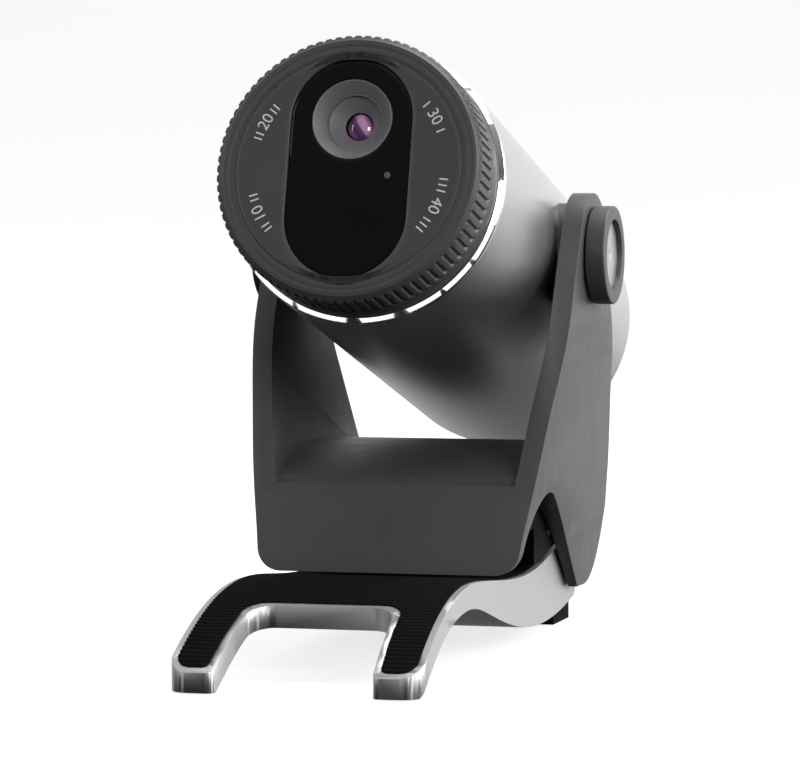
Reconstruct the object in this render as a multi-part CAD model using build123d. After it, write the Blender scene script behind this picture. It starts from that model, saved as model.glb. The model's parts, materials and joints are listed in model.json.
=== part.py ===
from build123d import *
from math import asin, cos, degrees, pi, radians, sin, sqrt
import os

# A clip-on conference camera: a tubular camera head on side pivots in a leaning yoke,
# and a forked stand hinged under the yoke.
# Millimetres. X is across the object, the lens looks towards -Y, and +Z is up.
# The stand's prong tips and its rear foot rest on Z = 0.

os.makedirs("parts", exist_ok=True)

# ---- driving dimensions -------------------------------------------------------------
PIVOT_Y = 15.688
PIVOT_Z = 68.2
TILT = 15.0

# Camera head. S is the distance from the pivot towards the lens, along the head's axis.
SHELL_R = 24.0
SHELL_WALL = 2.0
SHELL_REAR_S = -56.5
SHELL_FRONT_S = 48.2
SHELL_EDGE_R = 2.5
FACE_S = 60.4
GRIP_R = 23.0
GRIP_REAR_S = 49.8
GRIP_CHAMFER = 1.2
GRIP_RIBS = 84
GRIP_RIB_REAR_S = 53.2
BORE_R = 20.28
SPIGOT_R = 20.2
LIP_R = 18.8
SEAM_GAP = 0.3
FACE_R = 19.45
PILL_HALF_W = 10.5
PILL_HALF_H = 18.8
LENS_UP = 8.4
LAMP_X, LAMP_Z = 6.8, -1.2
SHUTTER_S = 57.3
SHUTTER_T = 0.6
SHUTTER_TRAVEL = 75.0
POST_RADIUS = 16.6
POST_R = 1.9
BOARD_S = 36.0

# Side pivots.
ARM_T = 3.6
ARM_OUT = 28.7
ARM_IN = ARM_OUT - ARM_T
ARM_TOP_R = 11.0
BOSS_R = 9.2
BOSS_OUT = 24.7
PIVOT_R = 4.5
BUSH_R = 5.6
KNOB_R = 8.75
KNOB_OUT = 32.5
KNOB_BACK = ARM_OUT + 0.3

# Yoke. Its side faces curve inwards towards the bottom: (height, half the outside width).
SIDE_CURVE = [(59.5, 28.7), (43.0, 27.1), (30.0, 25.35), (18.0, 23.45), (7.0, 22.6)]
PLATE_BOTTOM = 14.1
PLATE_TOP = 29.1
HUMP_EDGE = 30.2
HUMP_TOP = 34.9
PLATE_CORNER_R = 4.4
CORNER_HALF = 23.53
LEG_BOTTOM = 7.4
CAVITY_HALF = 20.9
CAVITY_TOP = 27.1

# Stand.
STAND_HALF = 20.3
TIP_HALF = 21.1
SPLAY_Y = -58.0
TIP_Y = -91.6
NOTCH_HALF = 13.3
NOTCH_BACK_HALF = 12.1
NOTCH_Y = -72.2
NOTCH_R = 4.2
FOOT_SCREW_Y = 19.2
HINGE_Y, HINGE_Z = 16.0, 12.5
HINGE_PIN_R = 1.5
PAD_INSET = 1.05
PAD_DROP = 0.9
PAD_PROUD = 0.3


# ---- helpers ------------------------------------------------------------------------
def save(name, shape):
    """Moves a shape to its place over the floor and writes it."""
    export_step(Pos(0, PIVOT_Y, 0) * shape, "parts/" + name + ".step")


def save_head(name, shape):
    """Writes a piece drawn in the head's own frame: pivot at the origin, lens along -Y."""
    save(name, Pos(0, 0, PIVOT_Z) * Rot(-TILT, 0, 0) * shape)


def turned(points):
    """Revolves (s, r) points about the head's axis."""
    outline = Polyline(*[(0, -s, r) for s, r in points], close=True)
    return revolve(make_face(outline), Axis.Y, 360)


def rod(radius, s_back, s_front, x=0.0, z=0.0):
    """A cylinder along the head's axis."""
    length = s_front - s_back
    return Pos(x, -(s_front + s_back) / 2, z) * Rot(90, 0, 0) * Cylinder(radius, length)


def tube(outer, inner, s_back, s_front, x=0.0, z=0.0):
    return rod(outer, s_back, s_front, x, z) - rod(inner, s_back - 1, s_front + 1, x, z)


def slab(x0, x1, s_back, s_front, z0, z1):
    """A box in the head's frame."""
    middle = ((x0 + x1) / 2, -(s_back + s_front) / 2, (z0 + z1) / 2)
    return Pos(*middle) * Box(x1 - x0, s_front - s_back, z1 - z0)


def cross(radius, x0, x1, y=0.0, z=0.0):
    """A cylinder along X."""
    return Pos((x0 + x1) / 2, y, z) * Rot(0, 90, 0) * Cylinder(radius, x1 - x0)


def both_sides(shape):
    """The shape and its mirror image across the middle plane, as one node."""
    return Compound([*shape.solids(), *mirror(shape, Plane.YZ).solids()])


def around(shape, angles):
    """Copies of a shape turned about the head's axis, as one node."""
    copies = []
    for angle in angles:
        copies.extend((Rot(0, angle, 0) * shape).solids())
    return Compound(copies)


def joined(*shapes):
    whole = shapes[0]
    for shape in shapes[1:]:
        whole = whole + shape
    return whole


def pill(half_w, half_h, s_back, s_front):
    """An upright slot-shaped plate across the head's axis."""
    outline = Rot(0, 0, 90) * SlotOverall(2 * half_h, 2 * half_w)
    plate = extrude(Plane.XZ.offset(s_back) * outline, s_front - s_back)
    return plate


def arc_slot(radius, half_w, start, end, s_back, s_front):
    """A curved slot about the head's axis. Angles count from +X towards +Z."""
    ring = tube(radius + half_w, radius - half_w, s_back, s_front)
    depth = s_front - s_back
    far = 3 * radius
    wedge_points = [(0.0, 0.0)]
    steps = 6
    for i in range(steps + 1):
        turn = radians(start + (end - start) * i / steps)
        wedge_points.append((far * cos(turn), far * sin(turn)))
    wedge_face = make_face(Polyline(*[(x, -s_back, z) for x, z in wedge_points], close=True))
    wedge = extrude(wedge_face, depth, dir=(0, -1, 0))
    slot = ring & wedge
    for turn in (radians(start), radians(end)):
        end_x, end_z = radius * cos(turn), radius * sin(turn)
        slot = slot + rod(half_w, s_back, s_front, end_x, end_z)
    return slot


def side_face(*lines):
    """A closed face from lines that meet end to end."""
    return make_face([edge for line in lines for edge in line.edges()])


def yz(points):
    return [(0, y, z) for y, z in points]


def across(face, half_width):
    """Extrudes a YZ face to both sides of the middle plane."""
    return extrude(Pos(-half_width, 0, 0) * face, 2 * half_width, dir=(1, 0, 0))


# ---- camera head: shell, trim and core ------------------------------------------------
shell_in = SHELL_R - SHELL_WALL
rear_in_s = SHELL_REAR_S + 3.0
cover_r = 19.6
cover_depth = 1.6
shell_outer = rod(SHELL_R, SHELL_REAR_S, SHELL_FRONT_S)
rear_edge = shell_outer.edges().filter_by(GeomType.CIRCLE).sort_by(Axis.Y)[-1]
shell_outer = fillet(rear_edge, SHELL_EDGE_R)
shell = shell_outer - rod(shell_in, rear_in_s, SHELL_FRONT_S + 1)
shell = shell - rod(cover_r, SHELL_REAR_S - 1, SHELL_REAR_S + cover_depth)
shell = shell - rod(16.0, SHELL_REAR_S - 1, 0)
shell = shell - cross(BOSS_R + 0.02, -SHELL_R - 1, SHELL_R + 1)
for angle in (90, 210, 330):
    screw_x, screw_z = 17.8 * cos(radians(angle)), 17.8 * sin(radians(angle))
    shell = shell - rod(1.02, SHELL_REAR_S - 1, rear_in_s + 1, screw_x, screw_z)
save_head("barrel_shell", shell)

trim = turned([(45.0, 21.0), (45.0, 21.95), (48.25, 21.95), (48.25, 24.0), (48.95, 24.0),
               (49.45, 23.1), (49.45, 21.0)])
save_head("trim_ring", trim)

core_posts = around(rod(POST_R, 48.0, 57.7, POST_RADIUS), (0, 180))
board_posts = around(rod(2.5, BOARD_S, 46.5, 15.5), (-30, -150, 90))
core = turned([(46.0, 0.0), (46.0, 20.95), (48.5, 20.95), (48.5, SPIGOT_R), (56.3, SPIGOT_R),
               (56.3, 18.65), (48.5, 18.65), (48.5, 0.0)])
core = joined(core, *core_posts.solids(), *board_posts.solids())
core = core - rod(8.15, 45, 50, 0, LENS_UP)
core = core - rod(1.0, 45, 50, LAMP_X, LAMP_Z)
core = core - around(rod(0.92, 45, 59, POST_RADIUS), (0, 180))
core = core - around(rod(0.92, BOARD_S - 1, 42, 15.5), (-30, -150, 90))
core = core - tube(SPIGOT_R + 1, 19.2, 51.0, 52.2)
save_head("front_core", core)
save_head("grip_damper", tube(SPIGOT_R + 0.03, 19.22, 51.02, 52.18))

# ---- turning grip with the shutter disc -----------------------------------------------
chamfer_s = FACE_S - GRIP_CHAMFER * 0.7
ring_in = FACE_R + SEAM_GAP
grip = turned([(GRIP_REAR_S, BORE_R), (GRIP_REAR_S, GRIP_R - 0.2), (GRIP_REAR_S + 0.2, GRIP_R),
               (chamfer_s, GRIP_R), (FACE_S, GRIP_R - GRIP_CHAMFER), (FACE_S, ring_in),
               (58.8, ring_in), (58.8, LIP_R), (57.9, LIP_R), (57.9, BORE_R)])
rib_length = FACE_S + 1 - GRIP_RIB_REAR_S
rib_cut = Pos(0, -(GRIP_RIB_REAR_S + rib_length / 2), GRIP_R) * Box(0.7, rib_length, 0.6)
grip = grip - around(rib_cut, [360 * i / GRIP_RIBS for i in range(GRIP_RIBS)])
grip = grip - tube(20.75, 20.55, FACE_S - 0.25, FACE_S + 1)
save_head("grip_ring", grip)

shutter_back, shutter_front = SHUTTER_S, SHUTTER_S + SHUTTER_T
lamp_radius = sqrt(LAMP_X ** 2 + LAMP_Z ** 2)
lamp_angle = -degrees(asin(-LAMP_Z / lamp_radius))
shutter = rod(BORE_R - 0.01, shutter_back, shutter_front)
shutter = shutter - rod(4.7, shutter_back - 1, shutter_front + 1, 0, LENS_UP)
lamp_end = lamp_angle + SHUTTER_TRAVEL
shutter = shutter - arc_slot(lamp_radius, 1.1, lamp_angle, lamp_end, 56, 59)
for start in (0, 180):
    shutter = shutter - arc_slot(POST_RADIUS, POST_R + 0.3, start, start + SHUTTER_TRAVEL, 56, 59)
save_head("shutter_disc", shutter)

# ---- fixed face, window and light pipe -------------------------------------------------
face = rod(FACE_R, 59.1, FACE_S) - pill(PILL_HALF_W, PILL_HALF_H, 58, 62)
face_bosses = around(rod(POST_R - 0.1, 57.75, 59.2, POST_RADIUS), (0, 180))
face = joined(face, *face_bosses.solids()) - around(rod(0.92, 57, 59.8, POST_RADIUS), (0, 180))
save_head("face_disc", face)
save_head("face_screws", around(
    rod(0.9, 45.9, 59.6, POST_RADIUS) + rod(1.7, 44.6, 45.95, POST_RADIUS), (0, 180)))

window = pill(PILL_HALF_W - 0.05, PILL_HALF_H - 0.05, 59.0, 60.0)
window = window + (pill(12.0, 18.3, 58.2, 59.05))
lens_hole = Pos(0, 0, LENS_UP) * turned([(58.1, 0), (58.1, 5.05), (59.95, 6.85), (60.5, 7.4), (60.5, 0)])
window = window - lens_hole - rod(0.72, 57, 61, LAMP_X, LAMP_Z)
save_head("window_panel", window)
save_head("light_pipe", rod(0.7, 37.0, 59.98, LAMP_X, LAMP_Z))

# ---- lens train -------------------------------------------------------------------------
hood = turned([(52.6, 7.05), (52.6, 8.0), (56.9, 8.0), (56.9, 4.1), (55.1, 2.45), (55.05, 2.45), (55.05, 7.05)])
save_head("lens_hood", Pos(0, 0, LENS_UP) * hood)
barrel = turned([(40.0, 4.5), (40.0, 6.0), (49.0, 6.0), (49.0, 7.0), (55.0, 7.0), (55.0, 2.6),
                 (53.6, 2.6), (53.6, 4.5)])
save_head("lens_barrel", Pos(0, 0, LENS_UP) * barrel)
front_cell = turned([(51.6, 0.0), (51.6, 4.45), (53.5, 4.45), (53.5, 2.3), (54.4, 2.3), (54.4, 0.0)])
front_dome = Pos(0, -52.54, 0) * Sphere(2.96) & slab(-4, 4, 54.39, 57.0, -4, 4)
save_head("front_lens", Pos(0, 0, LENS_UP) * (front_cell + front_dome))
save_head("lens_spacer", Pos(0, 0, LENS_UP) * tube(4.45, 3.5, 46.2, 51.55))
rear_dome = Pos(0, -36.17, 0) * Sphere(9.93) & slab(-4, 4, 45.49, 47.0, -4, 4)
save_head("rear_lens", Pos(0, 0, LENS_UP) * (rod(4.45, 43.5, 45.5) + rear_dome))
holder = slab(-7.5, 7.5, BOARD_S + 0.02, 39.0, LENS_UP - 7.5, LENS_UP + 7.5)
holder = holder + rod(7.9, 38.5, 46.0, 0, LENS_UP)
holder = holder - rod(6.05, 39.4, 47, 0, LENS_UP)
holder = holder - slab(-5.5, 5.5, BOARD_S - 1, 38.2, LENS_UP - 5.5, LENS_UP + 5.5)
holder = holder - slab(-3.5, 3.5, 38, 40, LENS_UP - 3.5, LENS_UP + 3.5)
holder = holder - slab(-4.1, 4.1, 38.75, 40, LENS_UP - 4.1, LENS_UP + 4.1)
save_head("lens_holder", holder)
save_head("ir_filter", slab(-4.0, 4.0, 38.78, 39.3, LENS_UP - 4.0, LENS_UP + 4.0))
save_head("image_sensor", slab(-4.4, 4.4, BOARD_S + 0.02, 37.3, LENS_UP - 4.0, LENS_UP + 4.0))

# ---- electronics ----------------------------------------------------------------------------
sensor_board = rod(19.0, BOARD_S - 1.6, BOARD_S)
sensor_board = sensor_board - around(rod(1.05, 30, 40, 15.5), (-30, -150, 90))
save_head("sensor_board", sensor_board)
save_head("sensor_board_screws", around(
    rod(0.9, 34.3, 41.0, 15.5) + rod(1.8, 33.0, 34.35, 15.5), (-30, -150, 90)))
save_head("status_lamp", slab(LAMP_X - 0.8, LAMP_X + 0.8, BOARD_S + 0.02, 36.9, LAMP_Z - 0.6, LAMP_Z + 0.6))

TRAY_Z = -12.0
BOARD_Z = -8.0
tray = slab(-15.5, 15.5, -53.2, 26.0, TRAY_Z - 1.5, TRAY_Z)
tray_spots = [(x, s) for x in (-12.0, 12.0) for s in (-46.0, 20.0)]
for x, s in tray_spots:
    tray = tray + Pos(x, -s, (TRAY_Z + BOARD_Z) / 2) * Cylinder(2.4, BOARD_Z - TRAY_Z)
for x, s in tray_spots:
    tray = tray - Pos(x, -s, BOARD_Z - 2) * Cylinder(0.92, 5.0)
for x in (-9.0, 9.0):
    tray = tray - Pos(x, -5, TRAY_Z - 1) * Cylinder(2.0, 5.0)
save_head("electronics_tray", tray)
main_board = slab(-14.5, 14.5, -53.0, 24.0, BOARD_Z + 0.02, BOARD_Z + 1.6)
for x, s in tray_spots:
    main_board = main_board - Pos(x, -s, BOARD_Z) * Cylinder(1.05, 6.0)
save_head("main_board", main_board)
board_screws = []
for x, s in tray_spots:
    shank = Pos(x, -s, BOARD_Z - 0.6) * Cylinder(0.9, 4.4)
    head = Pos(x, -s, BOARD_Z + 2.3) * Cylinder(1.8, 1.3)
    board_screws.extend((shank + head).solids())
save_head("main_board_screws", Compound(board_screws))
save_head("image_processor", slab(-6.5, 6.5, -8.0, 5.0, BOARD_Z + 1.62, BOARD_Z + 2.8))
sink = slab(-8.0, 8.0, -9.5, 6.5, BOARD_Z + 2.82, BOARD_Z + 9.0)
for i in range(4):
    fin_x = -6.2 + i * 3.7
    sink = sink - slab(fin_x, fin_x + 1.9, -11, 8, BOARD_Z + 4.6, BOARD_Z + 12)
save_head("heat_sink", sink)
board_plug = slab(-6.0, 6.0, 19.0, 23.5, BOARD_Z + 1.62, BOARD_Z + 3.6)
sensor_plug = slab(-6.0, 6.0, 32.4, BOARD_S - 1.62, -8.0, -4.0)
save_head("ribbon_connectors", Compound([*board_plug.solids(), *sensor_plug.solids()]))
ribbon_low = make_face(Polyline(*yz([
    (-23.6, -5.5), (-26.0, -5.5), (-28.4, -6.2), (-32.3, -6.2),
    (-32.3, -5.9), (-28.5, -5.9), (-26.1, -5.2), (-23.6, -5.2)]), close=True))
save_head("ribbon_cable", across(ribbon_low, 5.0))

# ---- rear cover and its socket ----------------------------------------------------------------
SOCKET_Z = BOARD_Z + 3.3
socket_outer = Rot(90, 0, 0) * extrude(SlotOverall(8.9, 3.2), 7.4)
socket_inner = Rot(90, 0, 0) * extrude(SlotOverall(8.3, 2.6), 7.4)
socket_front = -48.4
socket = Pos(0, -socket_front + 7.4, SOCKET_Z) * socket_outer
socket = socket - Pos(0, -socket_front + 7.4 + 0.8, SOCKET_Z) * socket_inner
socket = socket + slab(-3.3, 3.3, -54.6, -49.0, SOCKET_Z - 0.35, SOCKET_Z + 0.35)
save_head("usb_socket", socket)
cover = rod(cover_r - 0.1, SHELL_REAR_S + 0.1, SHELL_REAR_S + cover_depth - 0.02)
cover = cover - extrude(Plane.XZ.offset(-60) * (Pos(0, SOCKET_Z) * SlotOverall(9.5, 3.8)), 20)
cover = cover - around(rod(1.05, -60, -50, 17.8), (-90, -210, -330))
cover = cover - around(rod(1.9, -60, SHELL_REAR_S + 0.9, 17.8), (-90, -210, -330))
save_head("rear_cover", cover)
save_head("rear_cover_screws", around(
    rod(1.0, -55.7, -51.5, 17.8) + rod(1.8, SHELL_REAR_S + 0.15, -55.62, 17.8), (-90, -210, -330)))

# ---- side pivots ---------------------------------------------------------------------------------
boss = cross(BOSS_R, 17.0, BOSS_OUT) + Pos(17.4, 0, 0) * Box(2.0, 22.0, 20.0)
boss = boss - cross(3.02, 14, 30)
save_head("pivot_mounts", both_sides(boss))
bolt = cross(3.0, 16.9, BOSS_OUT + 0.1) + cross(PIVOT_R, BOSS_OUT + 0.02, ARM_OUT + 0.15)
bolt = bolt + cross(5.0, ARM_OUT + 0.12, ARM_OUT + 2.0)
save_head("pivot_bolts", both_sides(bolt))
save_head("friction_washers", both_sides(
    cross(8.4, BOSS_OUT + 0.03, ARM_IN - 0.06) - cross(PIVOT_R + 0.05, 20, 30)))
knob = cross(KNOB_R, KNOB_BACK, KNOB_OUT)
knob = knob - cross(5.05, KNOB_BACK - 1, ARM_OUT + 2.05)
knob = knob - cross(6.25, KNOB_OUT - 1.6, KNOB_OUT + 1)
save_head("knob_caps", both_sides(knob))
save_head("knob_inlays", both_sides(cross(6.2, KNOB_OUT - 1.58, KNOB_OUT - 0.9)))

# ---- yoke -------------------------------------------------------------------------------------------
top_start = (-10.3, 72.0)
top_end = (10.75, 70.5)
silhouette = side_face(
    ThreePointArc((0, *top_start), (0, 0, PIVOT_Z + ARM_TOP_R), (0, *top_end)),
    ThreePointArc((0, *top_end), (0, 11.4, 65.5), (0, 13.4, 60.1)),
    Line((0, 13.4, 60.1), (0, 31.4, 21.3)),
    ThreePointArc((0, 31.4, 21.3), (0, 29.4, 13.2), (0, 17.0, LEG_BOTTOM)),
    Line((0, 17.0, LEG_BOTTOM), (0, 13.6, LEG_BOTTOM)),
    Spline((0, 13.6, LEG_BOTTOM), (0, 5.6, 13.9), (0, -5.9, 21.9), (0, -12.3, 25.4)),
    Spline((0, -12.3, 25.4), (0, -19.5, 27.1), (0, -27.6, 23.4), (0, -32.8, PLATE_BOTTOM)),
    Line((0, -32.8, PLATE_BOTTOM), (0, -35.5, PLATE_BOTTOM)),
    ThreePointArc((0, -35.5, PLATE_BOTTOM), (0, -24.5, 44.7), (0, *top_start)),
)
body = across(silhouette, ARM_OUT + 1)


def front_outline(inset):
    """The yoke's front outline, moved in by inset, as a block along Y."""
    right = [(half - inset, 60, z) for z, half in SIDE_CURVE]
    left = [(-x, y, z) for x, y, z in right]
    top = 95.0
    outline = side_face(
        Polyline(right[0], (right[0][0], 60, top), (left[0][0], 60, top), left[0]),
        Spline(*left, tangents=[(0, 0, -1), (0.05, 0, -1)]),
        Line(left[-1], right[-1]),
        Spline(*reversed(right), tangents=[(0.05, 0, 1), (0, 0, 1)]),
    )
    return extrude(outline, 120, dir=(0, -1, 0))


body = body & front_outline(0.0)
bridge_top = side_face(
    Polyline((0, -60, PLATE_TOP), (0, -29.0, PLATE_TOP), (0, -29.0, HUMP_EDGE)),
    ThreePointArc((0, -29.0, HUMP_EDGE), (0, 0, HUMP_TOP), (0, 28.0, HUMP_EDGE)),
    Polyline((0, 28.0, HUMP_EDGE), (0, 60, HUMP_EDGE), (0, 60, 94), (0, -60, 94), (0, -60, PLATE_TOP)),
)
body = body - (across(bridge_top, 40) & front_outline(ARM_T))
cavity = side_face(
    Line((0, -32.8, 5), (0, -32.8, PLATE_BOTTOM)),
    Spline((0, -32.8, PLATE_BOTTOM), (0, -27.6, 23.4), (0, -19.5, CAVITY_TOP)),
    Polyline((0, -19.5, CAVITY_TOP), (0, 45, CAVITY_TOP), (0, 45, 5), (0, -32.8, 5)),
)
body = body - across(cavity, CAVITY_HALF)
# The plate's lower corners are rounded, tangent to the bottom and to the leaning sides.
corner_z = PLATE_BOTTOM + PLATE_CORNER_R
corner_slope = 0.15
corner_x = CORNER_HALF - PLATE_CORNER_R * sqrt(1 + corner_slope ** 2)
corner_points = [(corner_x, corner_z), (corner_x + 12, corner_z - 12 * corner_slope),
                 (corner_x + 12, corner_z - 12), (corner_x, corner_z - 12)]
corner_face = make_face(Polyline(*[(x, -25, z) for x, z in corner_points], close=True))
corner_cut = extrude(corner_face, 30, dir=(0, -1, 0))
corner_cut = corner_cut - Pos(corner_x, -40, corner_z) * Rot(90, 0, 0) * Cylinder(PLATE_CORNER_R, 60)
body = body - corner_cut - mirror(corner_cut, Plane.YZ)
body = body - cross(BUSH_R, -40, 40, 0, PIVOT_Z)
body = body - cross(HINGE_PIN_R + 0.05, -22.2, 22.2, HINGE_Y, HINGE_Z)
block_spots = [(-13.0, -17.0), (13.0, -17.0), (-13.0, 10.0), (13.0, 10.0)]
for x, y in block_spots:
    body = body - Pos(x, y, CAVITY_TOP) * Cylinder(1.05, 8.0)
save("yoke_frame", body)
bush = cross(BUSH_R - 0.02, ARM_IN + 0.02, ARM_OUT - 0.02, 0, PIVOT_Z)
bush = bush - cross(PIVOT_R + 0.06, 20, 30, 0, PIVOT_Z)
save("arm_bushings", both_sides(bush))

# ---- block, pad and fixings under the yoke -----------------------------------------------------------
block_face = make_face(Polyline(*yz([
    (-27.4, 20.2), (-26.4, 23.4), (-23.4, 25.6), (-19.5, 26.9), (20.0, 26.9), (20.0, 17.0),
    (7.6, 17.0), (2.8, 15.9), (-6.0, 14.5), (-12.0, 13.9), (-12.0, 20.2)]), close=True))
block = across(block_face, CAVITY_HALF - 0.3)
block = block - cross(9.4, -30, 30, HINGE_Y, HINGE_Z)
for x, y in block_spots:
    block = block - Pos(x, y, 20) * Cylinder(1.1, 30)
    floor_z = 23.2
    block = block - Pos(x, y, floor_z - 10) * Cylinder(2.1, 20)
block_screws = []
for x, y in block_spots:
    shank = Pos(x, y, 26.8) * Cylinder(1.0, 7.6)
    head = Pos(x, y, 22.3) * Cylinder(2.0, 1.7)
    block_screws.extend((shank + head).solids())
save("block_screws", Compound(block_screws))
pad_strip = Pos(0, -19.4, 19.65) * Box(2 * CAVITY_HALF - 4, 13.6, 1.0)
for x, y in block_spots[:2]:
    pad_strip = pad_strip - Pos(x, y, 19.6) * Cylinder(2.3, 5)
save("channel_pad", pad_strip)
block_pin = cross(0.7, 16.0, CAVITY_HALF - 0.1, -1.0, 18.6)
block = block - both_sides(cross(0.72, 15.9, CAVITY_HALF, -1.0, 18.6))
save("hinge_block", block)
save("block_pins", both_sides(block_pin))

# ---- stand -----------------------------------------------------------------------------------------------
top_points = [(TIP_Y, 3.3), (-82.6, 8.3), (-70.6, 12.7), (-56.0, 14.7), (-40.0, 13.8),
              (-20.0, 12.5), (-6.0, 13.2), (7.0, 15.2), (15.0, 15.9)]
low_points = [(-89.6, 0.0), (-82.5, 4.2), (-73.0, 8.3), (-62.0, 10.4), (-53.0, 10.4),
              (-43.0, 8.4), (-29.0, 5.2), (-12.0, 2.9), (4.0, 3.0), (19.5, 4.9)]


def stand_top(shift):
    return [(y, z + shift) for y, z in top_points]


stand_side = side_face(
    Spline(*yz(top_points)),
    ThreePointArc((0, 15.0, 15.9), (0, 20.7, 12.6), (0, 22.2, 6.6)),
    ThreePointArc((0, 22.2, 6.6), (0, 21.3, 5.4), (0, 19.5, 4.9)),
    Spline(*yz(reversed(low_points))),
    Line((0, -89.6, 0), (0, TIP_Y, 0)),
    Line((0, TIP_Y, 0), (0, TIP_Y, 3.3)),
)


def stand_plan(inset, rear_y, low, high):
    """The fork's outline from above, moved in by inset, as an upright block."""
    half, tip_half = STAND_HALF - inset, TIP_HALF - inset
    front = TIP_Y + inset
    corners = [(tip_half, front), (half, SPLAY_Y), (half, rear_y)]
    corners = corners + [(-x, y) for x, y in reversed(corners)]
    plan = make_face(Polyline(*corners, close=True))
    front_corners = plan.vertices().sort_by(Axis.Y)[:2]
    plan = fillet(front_corners, max(3.8 - inset, 1.2))
    notch_half = NOTCH_HALF + inset
    back_half = NOTCH_BACK_HALF + inset
    notch_y = NOTCH_Y + inset
    notch = make_face(Polyline((notch_half, front), (back_half, notch_y), (-back_half, notch_y),
                               (-notch_half, front), (-notch_half, front - 20), (notch_half, front - 20),
                               close=True))
    notch = fillet(notch.vertices().sort_by(Axis.Y)[-2:], NOTCH_R)
    plan = plan - notch
    inner_tips = [v for v in plan.vertices()
                  if abs(v.Y - front) < 0.01 and abs(abs(v.X) - notch_half) < 0.01]
    plan = fillet(inner_tips, 1.2)
    return extrude(Pos(0, 0, low) * plan, high - low)


stand = across(stand_side, TIP_HALF) & stand_plan(0.0, 30.0, -5.0, 30.0)
boss = Pos(0, 10.0, 3.6) * Box(30.0, 12.0, 5.6)
stand = stand + (boss - across(stand_side, STAND_HALF))
pad_side = side_face(
    Spline(*yz(stand_top(PAD_PROUD))),
    Line((0, 15.0, 15.9 + PAD_PROUD), (0, 15.0, 15.9 - PAD_DROP)),
    Spline(*yz(reversed(stand_top(-PAD_DROP)))),
    Line((0, TIP_Y, 3.3 - PAD_DROP), (0, TIP_Y, 3.3 + PAD_PROUD)),
)
pad = across(pad_side, TIP_HALF) & stand_plan(PAD_INSET, 4.0, -5.0, 30.0)
stand = stand - pad
stand = stand - cross(HINGE_PIN_R + 0.02, -30, 30, HINGE_Y, HINGE_Z)
foot_face = make_face(Polyline(*yz([(16.1, 0), (28.8, 0), (28.8, 3.6), (24.6, 7.0), (16.1, 7.0)]), close=True))
foot = across(foot_face, 17.5) - stand
foot = foot.solids().sort_by(SortBy.VOLUME)[-1]
foot_spots = [-11.0, 11.0]
for x in foot_spots:
    stand = stand - Pos(x, FOOT_SCREW_Y, 3.6) * Cylinder(1.05, 12.0)
    foot = foot - Pos(x, FOOT_SCREW_Y, 0) * Cylinder(1.1, 20.0) - Pos(x, FOOT_SCREW_Y, 0) * Cylinder(2.2, 2.6)
save("stand_frame", stand)
save("stand_pad", pad)
save("rear_foot", foot)
foot_screws = []
for x in foot_spots:
    shank = Pos(x, FOOT_SCREW_Y, 5.0) * Cylinder(1.0, 8.0)
    head = Pos(x, FOOT_SCREW_Y, 0.8) * Cylinder(2.0, 0.9)
    foot_screws.extend((shank + head).solids())
save("foot_screws", Compound(foot_screws))
save("hinge_pin", cross(HINGE_PIN_R, -22.1, 22.1, HINGE_Y, HINGE_Z))
washer = cross(3.6, STAND_HALF + 0.05, CAVITY_HALF - 0.06, HINGE_Y, HINGE_Z)
washer = washer - cross(HINGE_PIN_R + 0.03, 19, 22, HINGE_Y, HINGE_Z)
save("hinge_washers", both_sides(washer))
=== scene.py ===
import json
from math import atan2, cos, hypot, pi, radians, sin, sqrt

import bmesh
import bpy
from mathutils import Matrix, Quaternion, Vector
from mathutils.bvhtree import BVHTree


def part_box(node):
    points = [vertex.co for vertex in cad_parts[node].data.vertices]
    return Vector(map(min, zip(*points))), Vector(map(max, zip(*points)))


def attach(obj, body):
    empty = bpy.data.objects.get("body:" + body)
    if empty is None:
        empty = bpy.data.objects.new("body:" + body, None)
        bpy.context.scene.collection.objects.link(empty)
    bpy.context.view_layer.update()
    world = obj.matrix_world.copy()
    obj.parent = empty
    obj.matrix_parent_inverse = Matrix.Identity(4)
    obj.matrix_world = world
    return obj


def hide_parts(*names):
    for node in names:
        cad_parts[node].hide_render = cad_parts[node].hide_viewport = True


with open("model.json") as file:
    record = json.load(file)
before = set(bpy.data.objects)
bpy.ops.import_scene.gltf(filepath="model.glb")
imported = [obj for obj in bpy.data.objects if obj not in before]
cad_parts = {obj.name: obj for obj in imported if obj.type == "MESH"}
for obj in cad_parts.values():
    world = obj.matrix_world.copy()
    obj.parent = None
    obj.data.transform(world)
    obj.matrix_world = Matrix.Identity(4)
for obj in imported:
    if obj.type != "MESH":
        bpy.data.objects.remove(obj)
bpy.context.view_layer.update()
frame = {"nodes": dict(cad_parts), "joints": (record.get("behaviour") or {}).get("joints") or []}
MM = 0.001

# ---- places taken from the frame -------------------------------------------------------
knob_low, knob_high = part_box("knob_caps")
PIVOT = (knob_low + knob_high) / 2
axes = {j["name"]: j["axis"] for j in frame["joints"]}
TILT = atan2(-axes["shutter_turn"][2], axes["shutter_turn"][1])
HEAD = Matrix.Translation(PIVOT) @ Matrix.Rotation(-TILT, 4, "X")
HEAD_INV = HEAD.inverted()
WORLD = Matrix.Identity(4)
SIDE = Matrix.Translation(PIVOT)


def head_span(node):
    """A node's rear and front along the head's axis and its largest radius, in mm."""
    points = [HEAD_INV @ v.co for v in frame["nodes"][node].data.vertices]
    along = [-p.y / MM for p in points]
    return min(along), max(along), max(hypot(p.x, p.z) for p in points) / MM


# ---- materials -------------------------------------------------------------------------
NOISE_LOW, NOISE_HIGH = 0.3, 0.7


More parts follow.
